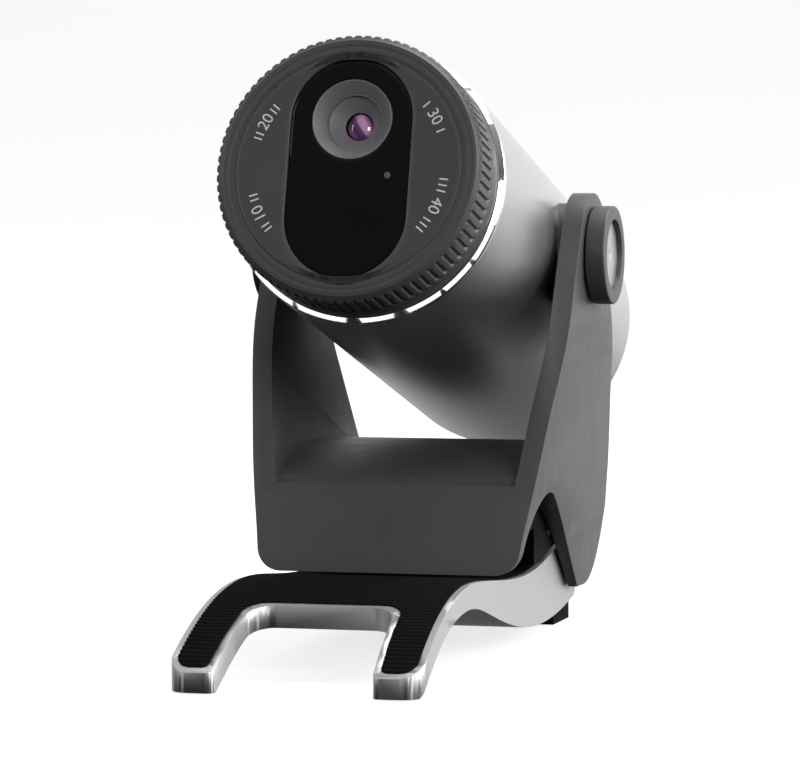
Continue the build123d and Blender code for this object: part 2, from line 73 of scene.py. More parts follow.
class Nodes:
    """A material under construction: its Principled shader and a few ready-made links."""

    def __init__(self, name, metallic=0.0, spec=0.5, coat=0.0, coat_rough=0.05, ior=1.5):
        self.mat = bpy.data.materials.new(name)
        self.mat.use_nodes = True
        self.tree = self.mat.node_tree
        self.bsdf = self.tree.nodes["Principled BSDF"]
        self.set("Metallic", metallic)
        self.set("Specular IOR Level", spec)
        self.set("Coat Weight", coat)
        self.set("Coat Roughness", coat_rough)
        self.set("IOR", ior)
        self.coords = self.node("ShaderNodeTexCoord").outputs["Object"]

    def set(self, socket, value):
        """Gives one of the Principled shader's inputs a fixed value."""
        self.bsdf.inputs[socket].default_value = value

    def node(self, kind, **values):
        made = self.tree.nodes.new(kind)
        for key, value in values.items():
            setattr(made, key, value)
        return made

    def link(self, a, b):
        self.tree.links.new(a, b)

    def placed(self, scale=(1, 1, 1), location=(0, 0, 0)):
        """The object's coordinates, stretched and moved."""
        mapping = self.node("ShaderNodeMapping")
        mapping.inputs["Location"].default_value = location
        mapping.inputs["Scale"].default_value = scale
        self.link(self.coords, mapping.inputs["Vector"])
        return mapping.outputs["Vector"]

    def noise(self, scale, detail=3.0, vector=None):
        made = self.node("ShaderNodeTexNoise")
        made.inputs["Scale"].default_value = scale
        made.inputs["Detail"].default_value = detail
        made.inputs["Roughness"].default_value = 0.55
        self.link(vector or self.coords, made.inputs["Vector"])
        return made.outputs["Fac"]

    def ranged(self, value, low, high):
        """Stretches the part of a noise that is used, NOISE_LOW to NOISE_HIGH, over low to high."""
        made = self.node("ShaderNodeMapRange")
        made.inputs["From Min"].default_value = NOISE_LOW
        made.inputs["From Max"].default_value = NOISE_HIGH
        made.inputs["To Min"].default_value = low
        made.inputs["To Max"].default_value = high
        self.link(value, made.inputs["Value"])
        return made.outputs["Result"]

    def maths(self, operation, a, b):
        made = self.node("ShaderNodeMath", operation=operation)
        for socket, value in zip(made.inputs, (a, b)):
            if isinstance(value, (int, float)):
                socket.default_value = value
            else:
                self.link(value, socket)
        return made.outputs["Value"]

    def ramp(self, value, stops):
        """A colour for value: stops are (place, colour) pairs."""
        made = self.node("ShaderNodeValToRGB")
        elements = made.color_ramp.elements
        while len(elements) < len(stops):
            elements.new(0.5)
        for element, (place, colour) in zip(elements, stops):
            element.position = place
            element.color = (*colour, 1.0)
        self.link(value, made.inputs["Fac"])
        return made.outputs["Color"]

    def colour(self, value, dark, light):
        stops = [(NOISE_LOW, dark), (NOISE_HIGH, light)]
        self.link(self.ramp(value, stops), self.bsdf.inputs["Base Color"])

    def roughness(self, value, low, high):
        self.link(self.ranged(value, low, high), self.bsdf.inputs["Roughness"])

    def bump(self, value, distance):
        """Relief from value: distance is in metres."""
        made = self.node("ShaderNodeBump")
        made.inputs["Distance"].default_value = distance
        made.inputs["Strength"].default_value = 1.0
        self.link(value, made.inputs["Height"])
        self.link(made.outputs["Normal"], self.bsdf.inputs["Normal"])


def shade(colour, factor):
    return tuple(min(1.0, c * factor) for c in colour)


def coated(name, colour, rough, metallic=0.0, grain=5200.0, depth=0.006, vary=0.06, spec=0.5,
           rough_vary=0.03):
    """A sprayed, moulded or anodised surface: fine grain, cloudy gloss, a slight drift of tone.

    grain is the relief's noise scale and depth its height in mm."""
    m = Nodes(name, metallic=metallic, spec=spec)
    cloud = m.noise(55.0, 4.0)
    m.colour(cloud, shade(colour, 1 - vary), shade(colour, 1 + vary))
    smear = m.noise(140.0, 5.0, m.placed(scale=(1.0, 2.6, 1.0)))
    m.roughness(smear, rough - rough_vary, rough + rough_vary)
    fine = m.noise(grain, 2.0)
    coarse = m.noise(grain * 0.22, 2.0)
    m.bump(m.maths("ADD", fine, m.maths("MULTIPLY", coarse, 0.6)), depth * MM)
    return m.mat


def brushed(name, colour, rough, scale):
    """Metal with fine lines: scale is the noise's stretch along X, Y and Z."""
    m = Nodes(name, metallic=1.0)
    lines = m.noise(1.0, 4.0, m.placed(scale=scale))
    cloud = m.noise(40.0, 3.0)
    m.colour(cloud, shade(colour, 1 - 0.04), shade(colour, 1 + 0.04))
    m.roughness(lines, rough - 0.07, rough + 0.07)
    m.bump(lines, 0.004 * MM)
    return m.mat


def turned_metal(name, colour, rough, centre, pitch):
    """Metal faced on a lathe: rings, pitch mm apart, about an axis along X through centre."""
    m = Nodes(name, metallic=1.0)
    split = m.node("ShaderNodeSeparateXYZ")
    m.link(m.placed(location=tuple(-c for c in centre)), split.inputs["Vector"])
    squares = [m.maths("MULTIPLY", split.outputs[k], split.outputs[k]) for k in ("Y", "Z")]
    radius = m.maths("SQRT", m.maths("ADD", *squares), 0.0)
    rings = m.maths("SINE", m.maths("MULTIPLY", radius, 2 * pi / (pitch * MM)), 0.0)
    cloud = m.noise(60.0, 3.0)
    m.colour(cloud, shade(colour, 0.95), shade(colour, 1.05))
    m.roughness(m.noise(400.0, 3.0), rough - 0.05, rough + 0.05)
    m.bump(rings, 0.004 * MM)
    return m.mat


graphite = coated("graphite_anodised", (0.072, 0.072, 0.075), 0.44, metallic=0.25, spec=0.45)
graphite_face = coated("graphite_face", (0.058, 0.058, 0.060), 0.46, spec=0.35, grain=6800.0)
graphite_grip = coated("graphite_grip", (0.066, 0.066, 0.068), 0.42, metallic=0.3, spec=0.45)
silver = coated("silver_satin", (0.60, 0.60, 0.605), 0.30, metallic=1.0, grain=9000.0,
                depth=0.0012, vary=0.015, rough_vary=0.012)
silver_cast = coated("silver_cast", (0.52, 0.52, 0.525), 0.50, metallic=0.95, grain=4200.0,
                     vary=0.02, rough_vary=0.02)
chrome = coated("chrome_trim", (0.92, 0.92, 0.93), 0.05, metallic=1.0, grain=900.0,
                depth=0.0004, vary=0.01, rough_vary=0.02)
black_plastic = coated("black_plastic", (0.008, 0.008, 0.0085), 0.55, grain=4600.0, depth=0.010)
grey_cone = coated("grey_cone", (0.17, 0.17, 0.175), 0.45, grain=6000.0)
# Near black that stands in for the shade inside the yoke's arch: painted shade on the hinge block.
recess_painted_shade = coated("recess_painted_shade", (0.0035, 0.0035, 0.0036), 0.7, grain=4600.0, depth=0.010,
                     spec=0.08)
lens_black = coated("lens_black", (0.012, 0.012, 0.013), 0.38, metallic=0.4, grain=6400.0)
rubber = coated("rubber_black", (0.0026, 0.0026, 0.0026), 0.75, grain=3400.0, depth=0.014,
                spec=0.08, vary=0.2)
steel = brushed("steel_plated", (0.55, 0.55, 0.57), 0.30, (900.0, 2600.0, 2600.0))
inlay_metal = turned_metal("turned_inlay", (0.62, 0.62, 0.63), 0.36, PIVOT, pitch=0.16)
board = coated("solder_mask", (0.012, 0.085, 0.035), 0.32, grain=1600.0, spec=0.6)
chip = coated("chip_package", (0.022, 0.022, 0.024), 0.5, grain=3000.0)
film = coated("amber_film", (0.36, 0.17, 0.03), 0.35, grain=900.0)
filter_glass = coated("filter_glass", (0.10, 0.28, 0.26), 0.08, grain=800.0, depth=0.0005)
print_grey = coated("print_grey", (0.62, 0.62, 0.62), 0.55, grain=5200.0, depth=0.003)
pipe_grey = coated("pipe_grey", (0.10, 0.10, 0.105), 0.25, grain=2500.0, depth=0.002)
heat_metal = brushed("heat_metal", (0.55, 0.55, 0.56), 0.35, (2400.0, 300.0, 2400.0))


def gloss_black():
    """The window's polished black plastic."""
    m = Nodes("gloss_black", spec=0.22, coat=0.2, coat_rough=0.03)
    m.colour(m.noise(35.0, 2.0), (0.0035, 0.0035, 0.0038), (0.0048, 0.0048, 0.0052))
    m.roughness(m.noise(260.0, 5.0), 0.10, 0.17)
    m.bump(m.noise(1400.0, 1.0), 0.0004 * MM)
    return m.mat


def lens_painted_reflection(centre):
    """Dark glass with a violet-tinted gloss. Its colour is painted reflection: plum through violet
    to a pink band of painted highlight at the upper right.
    """
    m = Nodes("lens_painted_reflection", spec=0.8, coat=1.0, coat_rough=0.02)
    m.set("Specular Tint", (0.8, 0.5, 1.0, 1.0))
    offset = m.node("ShaderNodeVectorMath", operation="SUBTRACT")
    m.link(m.coords, offset.inputs[0])
    offset.inputs[1].default_value = centre
    slope = m.node("ShaderNodeVectorMath", operation="DOT_PRODUCT")
    m.link(offset.outputs["Vector"], slope.inputs[0])
    slope.inputs[1].default_value = (0.82, 0.0, 0.57)
    wobble = m.maths("MULTIPLY", m.noise(700.0, 1.0), 0.5 * MM)
    along = m.maths("ADD", slope.outputs["Value"], wobble)
    share = m.maths("ADD", m.maths("DIVIDE", along, 4.6 * MM), 0.45)
    # Painted reflection: colours set by place across the lens, with a pink painted highlight at the
    # upper right.
    painted_reflection_tones = [(0.10, (0.30, 0.10, 0.26)), (0.30, (0.07, 0.03, 0.11)), (0.50, (0.12, 0.06, 0.20)),
             (0.58, (0.55, 0.30, 0.52)), (0.75, (0.62, 0.30, 0.55)), (0.95, (0.16, 0.06, 0.15))]
    m.link(m.ramp(share, painted_reflection_tones), m.bsdf.inputs["Base Color"])
    m.roughness(m.noise(500.0, 3.0), 0.03, 0.08)
    m.bump(m.noise(300.0, 1.0), 0.001 * MM)
    return m.mat


black_gloss = gloss_black()

# ---- mesh helpers ----------------------------------------------------------------------

WELD, CAD_WELD = 1e-7, 2e-6
FLAT_ANGLE, SHARP_ANGLE = radians(0.8), radians(28.0)


def smooth_mesh(work, name):
    """A mesh from a bmesh that is no longer needed, with every face smooth."""
    for face in work.faces:
        face.smooth = True
    mesh = bpy.data.meshes.new(name)
    work.to_mesh(mesh)
    work.free()
    return mesh


def finish_piece(mesh, name, body, material, replaced, sharp=38.0):
    """Puts a mesh in the scene as a piece. Edges over sharp degrees stay crisp."""
    mesh.set_sharp_from_angle(angle=radians(sharp))
    mesh.materials.clear()
    mesh.materials.append(material)
    piece = bpy.data.objects.new(name, mesh)
    bpy.context.scene.collection.objects.link(piece)
    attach(piece, body)
    if replaced:
        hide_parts(*replaced)
    return piece


def build(name, parts, place, body, material, slot, *replaced, sharp=38.0):
    """Makes one piece from (points in mm, faces) parts that are set in place's frame."""
    work = bmesh.new()
    for points, faces in parts:
        made = [work.verts.new(place @ (Vector(p) * MM)) for p in points]
        for face in faces:
            corners = [made[i] for i in face]
            if len(set(corners)) > 2:
                work.faces.new(corners)
    bmesh.ops.remove_doubles(work, verts=work.verts, dist=WELD)
    bmesh.ops.dissolve_degenerate(work, edges=work.edges, dist=WELD)
    bmesh.ops.recalc_face_normals(work, faces=work.faces)
    return finish_piece(smooth_mesh(work, name), name, body, material, replaced, sharp)


def softened(profile, radius=0.2, steps=4, closed=True):
    """Rounds a profile's corners. A point's third number, where it has one, is its own radius."""
    made = []
    count = len(profile)
    for i, corner in enumerate(profile):
        here = Vector(corner[:2])
        size = corner[2] if len(corner) > 2 else radius
        if not closed and i in (0, count - 1) or size == 0:
            made.append(tuple(here))
            continue
        before = Vector(profile[i - 1][:2]) - here
        after = Vector(profile[(i + 1) % count][:2]) - here
        half = before.angle(after, pi) / 2
        if half > radians(86):
            made.append(tuple(here))
            continue
        reach = min(size / max(0.05, abs(sin(half) / max(cos(half), 1e-6))),
                    before.length * 0.48, after.length * 0.48)
        start, end = here + before.normalized() * reach, here + after.normalized() * reach
        for k in range(steps + 1):
            t = k / steps
            made.append(tuple(start * (1 - t) ** 2 + here * 2 * t * (1 - t) + end * t ** 2))
    return made


def ring_faces(turns, count):
    """Faces between turns copies of a closed outline of count points."""
    faces = []
    for i in range(turns):
        j = (i + 1) % turns
        for k in range(count):
            after = (k + 1) % count
            faces.append((i * count + k, i * count + after, j * count + after, j * count + k))
    return faces


def lathe(profile, turns, along="head", mirrored=False):
    """Revolves a closed (distance along the axis, radius) profile about the head's or side axis."""
    points = []
    for i in range(turns):
        c, s = cos(2 * pi * i / turns), sin(2 * pi * i / turns)
        for a, r in profile:
            if along == "head":
                points.append((r * c, -a, r * s))
            else:
                points.append((-a if mirrored else a, r * c, r * s))
    return points, ring_faces(turns, len(profile))


def moved(part, dx=0.0, dy=0.0, dz=0.0, turn=0.0):
    """A part shifted in its own frame after a turn about the head's axis, in degrees."""
    c, s = cos(radians(turn)), sin(radians(turn))
    points = [(x * c - z * s + dx, y + dy, x * s + z * c + dz) for x, y, z in part[0]]
    return points, part[1]


def both(profile, turns):
    """A profile revolved about the side axis at the right and mirrored at the left."""
    return [lathe(profile, turns, "side"), lathe(profile, turns, "side", mirrored=True)]


def star(rows, turns, inner, outer):
    """A closed ring between two outlines about the head's axis.

    Each row is (outline name, offset, distance along the axis)."""
    outlines = {"in": inner, "out": outer}
    points = []
    for i in range(turns):
        angle = 2 * pi * i / turns
        for which, offset, along in rows:
            r = outlines[which](angle) + offset
            points.append((r * cos(angle), -along, r * sin(angle)))
    return points, ring_faces(turns, len(rows))


def pill_reach(half_w, half_h, centre_z):
    """Distance from a point on the pill's upright axis to its outline, at an angle."""
    straight = half_h - half_w

    def reach(angle):
        dx, dz = cos(angle), sin(angle)
        if abs(dx) > 1e-9:
            t = half_w / abs(dx)
            if abs(centre_z + t * dz) <= straight:
                return t
            arc_z = straight if centre_z + t * dz > 0 else -straight
        else:
            arc_z = straight if dz > 0 else -straight
        b = dz * (centre_z - arc_z)
        c = (centre_z - arc_z) ** 2 - half_w ** 2
        return -b + sqrt(max(0.0, b * b - c))
    return reach


def hexagon(across):
    """Distance from the centre to a hexagon's outline, at an angle."""
    def reach(angle):
        step = pi / 3
        return across / 2 / cos((angle % step) - step / 2)
    return reach


def smooth(t):
    """Eases from 0 to 1 while t goes from 0 to 1."""
    t = max(0.0, min(1.0, t))
    return t * t * (3 - 2 * t)


def bevelled(name, node, body, material, width, steps=3):
    """A CAD node's shape with its sharp edges rounded by width, in mm."""
    work = bmesh.new()
    work.from_mesh(frame["nodes"][node].data)
    bmesh.ops.remove_doubles(work, verts=work.verts, dist=CAD_WELD)
    bmesh.ops.dissolve_limit(work, angle_limit=FLAT_ANGLE, verts=work.verts, edges=work.edges)
    bmesh.ops.recalc_face_normals(work, faces=work.faces)
    sharp = [edge for edge in work.edges
             if len(edge.link_faces) == 2 and edge.calc_face_angle(0) > SHARP_ANGLE]
    bmesh.ops.bevel(work, geom=sharp, offset=width * MM, offset_type="OFFSET", segments=steps,
                    profile=0.5, affect="EDGES", clamp_overlap=True, harden_normals=False)
    bmesh.ops.remove_doubles(work, verts=work.verts, dist=CAD_WELD)
    bmesh.ops.dissolve_degenerate(work, edges=work.edges, dist=WELD)
    return finish_piece(smooth_mesh(work, name), name, body, material, (node,))


# ---- tube, trim ring and rear ----------------------------------------------------------
shell_rear, shell_front, shell_r = head_span("barrel_shell")
trim_rear, trim_front, trim_r = head_span("trim_ring")
cover_front, cover_r = head_span("rear_cover")[1:]
recess_r = cover_r + 0.1
CORNER_R, CORNER_STEPS = 2.5, 10
WALL, END_WALL, COVER_HOLE_R = 2.0, 3.0, 16.0
rear_arc = []
for k in range(CORNER_STEPS + 1):
    turn = pi / 2 * k / CORNER_STEPS
    rear_arc.append((shell_rear + CORNER_R * (1 - sin(turn)),
                     shell_r - CORNER_R * (1 - cos(turn)), 0))
shell_profile = softened([
    (shell_front, shell_r - WALL), (shell_front, shell_r, 0.12), *rear_arc,
    (shell_rear, recess_r, 0.25), (cover_front, recess_r, 0), (cover_front, COVER_HOLE_R, 0),
    (shell_rear + END_WALL, COVER_HOLE_R, 0), (shell_rear + END_WALL, shell_r - WALL, 0)],
    0.15, 8)
build("barrel_shell_turned", [lathe(shell_profile, 256)], HEAD, "head", silver, "silver_body",
      "barrel_shell")

TRIM_BORE_R, TRIM_SPIGOT_R, TRIM_SHOULDER = 21.0, 21.95, 48.25
trim_profile = softened([
    (trim_rear, TRIM_BORE_R, 0), (trim_rear, TRIM_SPIGOT_R, 0),
    (TRIM_SHOULDER, TRIM_SPIGOT_R, 0), (TRIM_SHOULDER, trim_r, 0.1),
    (trim_front - 0.5, trim_r, 0.2), (trim_front, trim_r - 0.9, 0.15),
    (trim_front, TRIM_BORE_R, 0)], 0.1, 5)
trim_piece = build("trim_ring_polished", [lathe(trim_profile, 256)], HEAD, "head", chrome,
                   "chrome_trim", "trim_ring")

bevelled("rear_cover_moulded", "rear_cover", "head", black_plastic, 0.14)
bevelled("usb_socket_drawn", "usb_socket", "head", steel, 0.06)


def hex_screw(head_r, height, key, rear):
    """A pan head with a hexagon socket, its top towards the rear of the head's axis."""
    key_outline = hexagon(key)
    rows = [("in", 0, rear + height), ("in", 0, rear + 0.08), ("in", 0.08, rear)]
    crown = [("out", -head_r * 0.45, rear), ("out", -head_r * 0.2, rear + 0.1),
             ("out", -0.05, rear + height * 0.35), ("out", 0, rear + height * 0.6),
             ("out", 0, rear + height)]
    return star(rows + crown, 48, key_outline, lambda a: head_r)


SCREW_CIRCLE_R, SOCKET_R = 17.8, 0.9
screw_rear = head_span("rear_cover_screws")[0]
floor_rear, floor_front = screw_rear + 0.45, screw_rear + 0.6
floor_profile = [(floor_rear, 0), (floor_rear, SOCKET_R), (floor_front, SOCKET_R), (floor_front, 0)]
cover_screws = []
for angle in (90, 210, 330):
    x, z = SCREW_CIRCLE_R * cos(radians(angle)), SCREW_CIRCLE_R * sin(radians(angle))
    head = hex_screw(head_r=1.8, height=0.72, key=1.3, rear=screw_rear)
    cover_screws.append(moved(head, x, 0, z))
    cover_screws.append(moved(lathe(floor_profile, 24), x, 0, z))
build("rear_cover_screw_heads", cover_screws, HEAD, "head", steel, "steel", "rear_cover_screws")

# ---- turning grip ----------------------------------------------------------------------
grip_rear, grip_front, grip_r = head_span("grip_ring")
RIBS, RIB_STEPS = 84, 16
RIB_DEPTH, RIB_LOWEST_R = 0.40, 21.3
HOOK_SHARE, HOOK_LENGTH = 0.48, 0.9  # how far a groove's rear end turns aside, in grooves and mm
GROOVE_HALF, GROOVE_EDGE, RUN_IN = 0.27, 1.6, 0.45
BEARING_R, BAND_REAR, BAND_BORE_R, SEAM_R = 20.28, 57.9, 18.8, 19.75
rib_rear = grip_rear + 3.4
chamfer_s = grip_front - 0.84
chamfer_r = grip_r - 1.2
face_front, face_r = head_span("face_disc")[1:]
grip_profile = []


def run(a, b, steps):
    """Adds steps points to the grip's profile from a towards b, without b itself."""
    for k in range(steps):
        t = k / steps
        grip_profile.append((a[0] + (b[0] - a[0]) * t, a[1] + (b[1] - a[1]) * t))


run((grip_rear, BEARING_R), (grip_rear, grip_r - 0.35), 2)
run((grip_rear, grip_r - 0.35), (grip_rear + 0.12, grip_r - 0.1), 1)
run((grip_rear + 0.12, grip_r - 0.1), (grip_rear + 0.4, grip_r), 1)
run((grip_rear + 0.4, grip_r), (rib_rear - 0.5, grip_r), 2)
run((rib_rear - 0.5, grip_r), (rib_rear + 1.5, grip_r), 12)
run((rib_rear + 1.5, grip_r), (chamfer_s - 0.1, grip_r), 6)
run((chamfer_s - 0.1, grip_r), (chamfer_s + 0.1, grip_r - 0.14), 2)
edge_r = grip_r - RIB_DEPTH - 0.12
edge_s = grip_front - (edge_r - chamfer_r) * (grip_front - chamfer_s) / (grip_r - chamfer_r)
run((chamfer_s + 0.1, grip_r - 0.14), (edge_s, edge_r), 4)
run((edge_s, edge_r), (edge_s - 0.5, edge_r), 2)
run((edge_s - 0.5, edge_r), (BAND_REAR, BEARING_R), 3)
run((BAND_REAR, BEARING_R), (grip_rear, BEARING_R), 2)

points = []
turns = RIBS * RIB_STEPS
for i in range(turns):
    angle = 2 * pi * i / turns
    for s, r in grip_profile:
        if r > RIB_LOWEST_R:
            hook = HOOK_SHARE * (1 - smooth((s - rib_rear + 0.1) / HOOK_LENGTH))
            share = (angle * RIBS / (2 * pi) - hook) % 1.0
            groove = smooth(GROOVE_EDGE * (1 - abs(share - 0.5) / GROOVE_HALF))
            reach = smooth((s - rib_rear) / RUN_IN)
            r = min(r, grip_r - RIB_DEPTH * groove * reach)
        points.append((r * cos(angle), -s, r * sin(angle)))
build("grip_ring_ribbed", [(points, ring_faces(turns, len(grip_profile)))], HEAD, "grip",
      graphite_grip, "dark_plastic", "grip_ring", sharp=50.0)
band = [(BAND_REAR, BAND_BORE_R, 0), (BAND_REAR, BEARING_R + 0.12, 0),
        (edge_s - 0.45, edge_r - 0.02, 0), (edge_s, edge_r - 0.02, 0.02),
        (grip_front, chamfer_r + 0.05, 0.1)]
TURNED_LINES = ((21.78, 0.05), (20.85, 0.045))
for line_r, line_depth in TURNED_LINES:
    band.append((grip_front, line_r + 0.12, 0))
    band.append((grip_front - line_depth, line_r + 0.04, 0))
    band.append((grip_front - line_depth, line_r - 0.04, 0))
    band.append((grip_front, line_r - 0.12, 0))
FACE_SEAT = 58.8
band += [(grip_front, SEAM_R + 0.05, 0.03), (grip_front - 0.08, SEAM_R, 0),
         (grip_front - 0.08, face_r + 0.02, 0), (FACE_SEAT, face_r + 0.02, 0),
         (FACE_SEAT, BAND_BORE_R, 0)]
build("grip_front_band", [lathe(softened(band, 0.03, 2), 360)], HEAD, "grip", graphite_face,
      "dark_plastic")

# ---- fixed face and window -------------------------------------------------------------
window_front = head_span("window_panel")[1]
HALF_W, HALF_H = 10.5, 18.8
LENS_UP, LENS_HOLE_R = 8.4, 6.9
LAMP_X, LAMP_UP = 6.77, -1.24
face_outline = pill_reach(HALF_W, HALF_H, 0.0)
rows = [("in", 0, face_front - 1.3), ("in", 0, face_front - 0.22), ("in", 0.05, face_front - 0.08),
        ("in", 0.20, face_front), ("in", 1.2, face_front),
        ("out", -0.9, face_front), ("out", -0.16, face_front),
        ("out", -0.05, face_front - 0.06), ("out", 0, face_front - 0.2),
        ("out", 0, face_front - 1.3)]
build("face_disc_moulded", [star(rows, 360, face_outline, lambda a: face_r)], HEAD, "head",
      graphite_face, "dark_plastic", "face_disc")

window_outline = pill_reach(HALF_W - 0.05, HALF_H - 0.05, LENS_UP)
rows = [("in", 0, window_front - 0.9), ("in", 0, window_front - 0.1),
        ("in", 0.03, window_front - 0.03), ("in", 0.10, window_front), ("in", 0.6, window_front),
        ("out", -0.8, window_front), ("out", -0.12, window_front),
        ("out", -0.03, window_front - 0.06), ("out", 0, window_front - 0.18),
        ("out", 0, window_front - 0.9)]
window_part = moved(star(rows, 300, lambda a: LENS_HOLE_R, window_outline), 0, 0, LENS_UP)
build("window_panel_polished", [window_part], HEAD, "head", black_gloss, "black_gloss",
      "window_panel")

lamp_profile = softened([
    (window_front - 1.0, 0.0, 0), (window_front - 1.0, 0.7, 0), (window_front - 0.02, 0.7, 0.1),
    (window_front + 0.03, 0.35, 0.1), (window_front + 0.04, 0.0, 0)], 0.1, 3)
build("light_pipe_end", [moved(lathe(lamp_profile, 40), LAMP_X, 0, LAMP_UP)], HEAD, "head",
      pipe_grey, "clear_plastic", "light_pipe")

# ---- lens ------------------------------------------------------------------------------
HOOD_R, FLANGE_R = 7.05, 8.0
THROAT_S, MOUTH_S = 55.05, 57.15


def on_lens(profile, turns):
    """A profile revolved about the lens axis, which lies LENS_UP above the head's."""
    return moved(lathe(profile, turns), 0, 0, LENS_UP)


hood_rear = head_span("lens_hood")[0]
hood = [(hood_rear, HOOD_R, 0), (hood_rear, FLANGE_R, 0), (MOUTH_S, FLANGE_R, 0),
        (MOUTH_S, 4.62, 0.05)]
for k in range(1, 12):
    t = k / 12
    hood.append((57.1 - 2.0 * t, 4.55 - 2.15 * t ** 0.9, 0))
hood += [(THROAT_S + 0.05, 2.38, 0.05), (THROAT_S, 2.45, 0), (THROAT_S, HOOD_R, 0)]
build("lens_hood_cone", [on_lens(softened(hood, 0.05, 3), 144)], HEAD, "head", grey_cone,
      "grey_plastic", "lens_hood")
rim = [(window_front - 0.85, 6.84, 0), (window_front - 0.06, 6.84, 0.02),
       (window_front - 0.02, 6.78, 0.02), (window_front - 0.10, 6.62, 0.05),
       (58.35, 5.15, 0.3), (58.0, 4.86, 0.05), (58.0, 5.1, 0.05)]
build("lens_cone_rim", [on_lens(softened(rim, 0.05, 4), 144)], HEAD, "head", grey_cone,
      "grey_plastic")
dome_front = head_span("front_lens")[1]
DOME_R, DOME_BASE = 2.3, 54.45
lens_profile = [(51.6, 0.0), (51.6, 4.45), (53.5, 4.45), (53.5, DOME_R), (DOME_BASE, DOME_R)]
for k in range(1, 13):
    t = k / 12 * pi / 2
    lens_profile.append((DOME_BASE + (dome_front - DOME_BASE) * sin(t), DOME_R * cos(t)))
# The lens dome's colour is painted reflection, laid out about lens_centre.
lens_centre = HEAD @ (Vector((0.0, -dome_front, LENS_UP)) * MM)
build("front_lens_dome", [on_lens(lens_profile, 96)], HEAD, "head", lens_painted_reflection(lens_centre),
      "lens_glass", "front_lens")

# ---- dial marks on the face ------------------------------------------------------------
MARK_R, MARK_HEIGHT, CAPITAL_SHARE = 16.7, 2.05, 1.38
TICK_HALF_LENGTH, TICK_HALF_WIDTH = 0.75, 0.13
MARKS = (("20", 152, (-10.5, -7.5, 7.5, 10.5)), ("10", -152, (-11.5, -8.5, 8.0, 11.0)),
         ("30", 31, (-9.0, 9.0)), ("40", -23, (-16.0, -12.5, -9.0, 9.0, 12.5, 16.0)))


def mark_bar(angle, r_low, r_high, half_w):
    """A printed tick pointing out from the head's axis."""
    corners = [(r_low, -half_w), (r_high, -half_w), (r_high, half_w), (r_low, half_w)]
    points = [(r, -s, w) for s in (face_front - 0.05, face_front + 0.012) for r, w in corners]
    faces = [(3, 2, 1, 0), (4, 5, 6, 7), (0, 1, 5, 4), (1, 2, 6, 5), (2, 3, 7, 6), (3, 0, 4, 7)]
    return moved((points, faces), turn=angle)


def mark_number(text, angle):
    """A printed number whose top points away from the axis."""
    curve = bpy.data.curves.new("number", "FONT")
    curve.body = text
    curve.size = MARK_HEIGHT * CAPITAL_SHARE
    curve.extrude = 0.03
    curve.resolution_u = 6
    curve.align_x, curve.align_y = "CENTER", "CENTER"
    holder = bpy.data.objects.new("number", curve)
    bpy.context.scene.collection.objects.link(holder)
    shaped = holder.evaluated_get(bpy.context.evaluated_depsgraph_get())
    mesh = bpy.data.meshes.new_from_object(shaped)
    bpy.data.objects.remove(holder)
    turn = radians(angle - 90)
    c, s = cos(turn), sin(turn)
    points = []
    for v in mesh.vertices:
        x, z = v.co.x, v.co.y + MARK_R
        points.append((x * c - z * s, -(face_front - 0.018 + v.co.z), x * s + z * c))
    faces = [tuple(p.vertices) for p in mesh.polygons]
    bpy.data.meshes.remove(mesh)
    return points, faces


marks = []
for text, centre, ticks in MARKS:
    marks.append(mark_number(text, centre))
    for tick in ticks:
        marks.append(mark_bar(centre + tick, MARK_R - TICK_HALF_LENGTH, MARK_R + TICK_HALF_LENGTH,
                              TICK_HALF_WIDTH))
build("dial_marks", marks, HEAD, "head", print_grey, "clear_plastic", sharp=30.0)

# ---- side pivots -----------------------------------------------------------------------
knob_out = knob_high.x / MM
knob_r = (knob_high.z - knob_low.z) / 2 / MM
arm_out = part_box("yoke_frame")[1].x / MM
knob_back = arm_out + 0.3
KNOB_BORE_R, CUP_R, CUP_DEPTH, INLAY_R = 5.05, 6.28, 1.6, 6.2
knob_profile = softened([
    (knob_back, KNOB_BORE_R, 0), (knob_back, knob_r - 0.05, 0.25), (knob_out, knob_r, 0.45),
    (knob_out, CUP_R, 0.16), (knob_out - CUP_DEPTH, CUP_R, 0),
    (knob_out - CUP_DEPTH, KNOB_BORE_R, 0)], 0.2, 6)
build("knob_caps_turned", both(knob_profile, 144), SIDE, "head", graphite, "dark_caps",
      "knob_caps")
inlay_profile = softened([
    (knob_out - 1.58, 0.0, 0), (knob_out - 1.58, INLAY_R, 0), (knob_out - 0.9, INLAY_R, 0.18),
    (knob_out - 0.9, 0.9, 0.05), (knob_out - 1.0, 0.6, 0.1), (knob_out - 1.05, 0.0, 0)], 0.1, 4)
build("knob_inlays_turned", both(inlay_profile, 144), SIDE, "head", inlay_metal, "silver_inlay",
      "knob_inlays")
boss_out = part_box("pivot_mounts")[1].x / MM
BOSS_IN, BOSS_R = 17.0, 9.2
boss_profile = softened([
    (BOSS_IN, 0.0, 0), (BOSS_IN, BOSS_R, 0), (boss_out, BOSS_R, 0.3), (boss_out, 0.0, 0)], 0.2, 5)
build("pivot_mounts_turned", both(boss_profile, 96), SIDE, "head", graphite, "dark_plastic",
      "pivot_mounts")

# ---- yoke and stand --------------------------------------------------------------------
bevelled("yoke_frame_soft", "yoke_frame", "yoke", graphite, 0.42, 4)
# The hinge block wears painted shade, near black like the shaded arch around it.
bevelled("hinge_block_moulded", "hinge_block", "yoke", recess_painted_shade, 0.2)
bevelled("channel_pad_soft", "channel_pad", "yoke", rubber, 0.15)
bevelled("stand_frame_soft", "stand_frame", "stand", silver_cast, 0.42, 4)
bevelled("rear_foot_soft", "rear_foot", "stand", rubber, 0.4)


